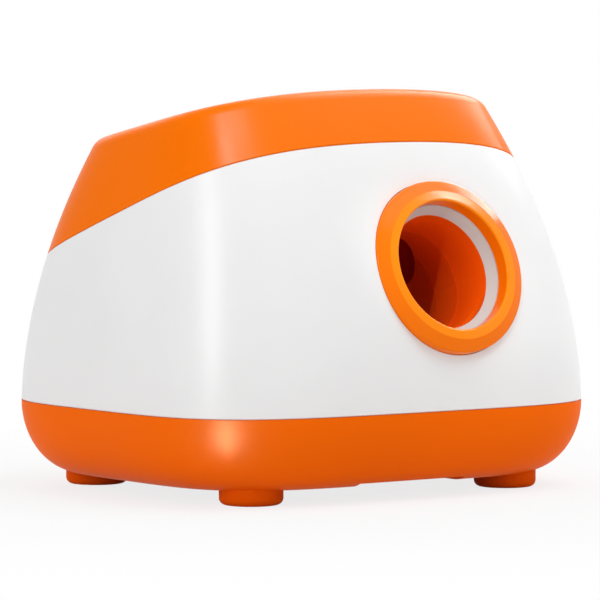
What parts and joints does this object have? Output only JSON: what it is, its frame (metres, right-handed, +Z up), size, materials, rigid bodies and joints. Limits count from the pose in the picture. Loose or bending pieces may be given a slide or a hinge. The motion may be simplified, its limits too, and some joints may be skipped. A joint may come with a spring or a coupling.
{
  "type": "automatic dog ball launcher",
  "caption": "Automatic ball launcher for dogs: a rounded casing with a hopper in the roof, a tilted barrel in front, and a spring striker drawn back by a motor, gears and a rack.",
  "frame": {"origin": "on the ground, below the middle of the overall box", "axes": "+Z up, +X across the machine, -Y out of the muzzle"},
  "size_m": [0.2444, 0.2127, 0.192],
  "materials": {
    "orange_base": "smooth moulded plastic",
    "orange_cover": "smooth moulded plastic",
    "orange_barrel": "smooth moulded plastic",
    "orange_rubber": "soft moulded rubber",
    "white_shell": "smooth moulded plastic",
    "grey_plastic": "fine texture",
    "dark_plastic": "fine texture",
    "gear_plastic": "plain moulded",
    "black_rubber": "matt",
    "steel": "plated",
    "bronze": "plain",
    "cell_case": "painted sleeve",
    "board_green": "lacquered",
    "lens_green": "clear tint"
  },
  "bodies": {
    "housing": {"base_tray": "orange_base", "main_shell": "white_shell", "top_cover": "orange_cover", "muzzle_bezel": "orange_cover", "muzzle_collar": "white_shell", "launch_barrel": "orange_barrel", "hopper_bowl": "orange_barrel", "ball_sensors": "dark_plastic", "barrel_saddle_1": "grey_plastic", "barrel_saddle_2": "grey_plastic", "buffer_ring": "black_rubber", "spring_bulkhead": "steel", "striker_spring": "steel", "gear_plate_left": "steel", "gear_plate_right": "steel", "plate_screws": "steel", "axle_bushes": "bronze", "idler_pin": "steel", "drive_motor": "steel", "motor_screws": "steel", "chassis_deck": "grey_plastic", "deck_screws": "steel", "case_screws": "steel", "muzzle_screws": "steel", "foot_front_left": "orange_rubber", "foot_rear_left": "orange_rubber", "foot_front_right": "orange_rubber", "foot_rear_right": "orange_rubber", "battery_box": "grey_plastic", "battery_cells": "cell_case", "battery_contacts": "bronze", "control_board": "board_green", "board_screws": "steel", "board_components": "dark_plastic", "buzzer": "dark_plastic", "control_panel": "grey_plastic", "indicator_lenses": "lens_green", "switch_board": "board_green", "panel_switches": "dark_plastic", "dc_jack": "dark_plastic"},
    "drive_axle": {"main_axle": "steel", "sector_gear": "gear_plastic", "reduction_gear": "gear_plastic"},
    "idler": {"idler_gear": "gear_plastic"},
    "motor_rotor": {"motor_shaft": "steel", "motor_pinion": "bronze"},
    "striker_group": {"striker": "gear_plastic", "striker_pad": "black_rubber"},
    "power_key": {"power_button": "orange_cover"},
    "distance_key": {"distance_button": "white_shell"},
    "door": {"battery_door": "orange_base"}
  },
  "joints": [
    {"name": "sector_turn", "type": "hinge", "parent": "housing", "child": "drive_axle", "pos_m": [0.01775, 0.05557, 0.10741], "axis": [1, 0, 0], "range_deg": [0, 76.5]},
    {"name": "idler_turn", "type": "hinge", "parent": "housing", "child": "idler", "pos_m": [0.01775, 0.07786, 0.08733], "axis": [1, 0, 0], "range_deg": [-229.5, 0]},
    {"name": "motor_turn", "type": "hinge", "parent": "housing", "child": "motor_rotor", "pos_m": [0.01775, 0.06658, 0.07331], "axis": [1, 0, 0], "range_deg": [0, 459]},
    {"name": "striker_slide", "type": "slide", "parent": "housing", "child": "striker_group", "axis": [0, 0.9489, -0.3156], "range_m": [0, 0.028], "deforming": ["striker_spring"]},
    {"name": "power_press", "type": "slide", "parent": "housing", "child": "power_key", "axis": [0, -0.9749, -0.2226], "range_m": [0, 0.0012], "stiffness_N_per_m": 300},
    {"name": "distance_press", "type": "slide", "parent": "housing", "child": "distance_key", "axis": [0, -0.9749, -0.2226], "range_m": [0, 0.0012], "stiffness_N_per_m": 300},
    {"name": "door_lift", "type": "slide", "parent": "housing", "child": "door", "axis": [0, 0, -1], "range_m": [0, 0.03]}
  ],
  "couplings": [
    {"joint": "sector_turn", "follows": "striker_slide", "rad_per_m": 47.619},
    {"joint": "idler_turn", "follows": "striker_slide", "rad_per_m": -142.86},
    {"joint": "motor_turn", "follows": "striker_slide", "rad_per_m": 285.71}
  ]
}
